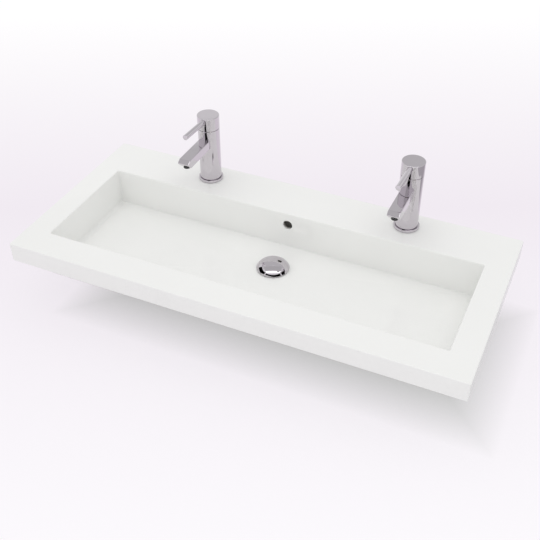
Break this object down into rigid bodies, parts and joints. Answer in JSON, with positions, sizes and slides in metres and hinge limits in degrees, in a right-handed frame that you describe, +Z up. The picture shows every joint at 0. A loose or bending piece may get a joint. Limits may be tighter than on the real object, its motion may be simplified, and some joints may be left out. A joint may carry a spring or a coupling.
{
  "type": "vanity basin",
  "caption": "Rectangular white vanity basin with a wide shallow bowl, back deck, overflow, press-to-close waste and chrome single-lever taps.",
  "frame": {"origin": "the middle of the back edge, level with the underside of the apron that rests on the cabinet", "axes": "+X along the wall to the right as seen from the front, +Y towards the wall, +Z up"},
  "size_m": [1, 0.46, 0.3407],
  "materials": {
    "glazed_white": "gloss",
    "chrome": "polished",
    "brass": "machined",
    "steel": "satin",
    "rubber": "matte",
    "cartridge_plastic": "moulded",
    "aerator_plastic": "moulded",
    "disc_ceramic": "lapped"
  },
  "bodies": {
    "basin": {"basin_shell": "glazed_white", "waste_flange": "chrome", "waste_flange_seal": "rubber", "waste_lower_seal": "rubber", "waste_thrust_washer": "cartridge_plastic", "waste_backnut": "brass", "waste_cartridge": "cartridge_plastic", "waste_spring": "steel", "left_tap_body": "chrome", "left_tap_base_ring": "chrome", "left_tap_base_seal": "rubber", "left_tap_spout": "chrome", "left_tap_aerator_housing": "aerator_plastic", "left_tap_aerator_insert": "aerator_plastic", "left_tap_aerator_seal": "rubber", "left_tap_cartridge_base": "cartridge_plastic", "left_tap_port_seals": "rubber", "left_tap_fixed_disc": "disc_ceramic", "left_tap_cartridge_housing": "cartridge_plastic", "left_tap_cartridge_nut": "brass", "left_tap_mounting_stud": "brass", "left_tap_horseshoe_gasket": "rubber", "left_tap_horseshoe_plate": "steel", "left_tap_mounting_nut": "brass", "right_tap_body": "chrome", "right_tap_base_ring": "chrome", "right_tap_base_seal": "rubber", "right_tap_spout": "chrome", "right_tap_aerator_housing": "aerator_plastic", "right_tap_aerator_insert": "aerator_plastic", "right_tap_aerator_seal": "rubber", "right_tap_cartridge_base": "cartridge_plastic", "right_tap_port_seals": "rubber", "right_tap_fixed_disc": "disc_ceramic", "right_tap_cartridge_housing": "cartridge_plastic", "right_tap_cartridge_nut": "brass", "right_tap_mounting_stud": "brass", "right_tap_horseshoe_gasket": "rubber", "right_tap_horseshoe_plate": "steel", "right_tap_mounting_nut": "brass"},
    "left_spindle": {"left_tap_spindle": "cartridge_plastic", "left_tap_pivot_pin": "steel"},
    "left_disc": {"left_tap_moving_disc": "disc_ceramic"},
    "left_handle": {"left_tap_lever_stem": "brass", "left_tap_handle_cap": "chrome", "left_tap_lever": "chrome", "left_tap_grub_screw": "steel", "left_tap_index_plug": "chrome"},
    "right_spindle": {"right_tap_spindle": "cartridge_plastic", "right_tap_pivot_pin": "steel"},
    "right_disc": {"right_tap_moving_disc": "disc_ceramic"},
    "right_handle": {"right_tap_lever_stem": "brass", "right_tap_handle_cap": "chrome", "right_tap_lever": "chrome", "right_tap_grub_screw": "steel", "right_tap_index_plug": "chrome"},
    "waste_plug": {"waste_cap": "chrome", "waste_cap_seal": "rubber", "waste_stem": "brass"}
  },
  "joints": [
    {"name": "left_temperature", "type": "hinge", "parent": "basin", "child": "left_spindle", "pos_m": [-0.226, -0.051, 0.1796], "axis": [0, 0, 1], "range_deg": [-45, 45]},
    {"name": "left_flow", "type": "hinge", "parent": "left_spindle", "child": "left_handle", "pos_m": [-0.226, -0.047, 0.1796], "axis": [-1, 0, 0], "range_deg": [0, 20]},
    {"name": "left_disc_slide", "type": "slide", "parent": "left_spindle", "child": "left_disc", "axis": [0, -1, 0], "range_m": [0, 0.005]},
    {"name": "right_temperature", "type": "hinge", "parent": "basin", "child": "right_spindle", "pos_m": [0.254, -0.051, 0.1796], "axis": [0, 0, 1], "range_deg": [-45, 45]},
    {"name": "right_flow", "type": "hinge", "parent": "right_spindle", "child": "right_handle", "pos_m": [0.254, -0.047, 0.1796], "axis": [-1, 0, 0], "range_deg": [0, 20]},
    {"name": "right_disc_slide", "type": "slide", "parent": "right_spindle", "child": "right_disc", "axis": [0, -1, 0], "range_m": [0, 0.005]},
    {"name": "waste_press", "type": "slide", "parent": "basin", "child": "waste_plug", "axis": [0, 0, 1], "range_m": [0, 0.008], "deforming": ["waste_spring"]}
  ],
  "couplings": [
    {"joint": "left_disc_slide", "follows": "left_flow", "m_per_rad": 0.0143},
    {"joint": "right_disc_slide", "follows": "right_flow", "m_per_rad": 0.0143}
  ]
}
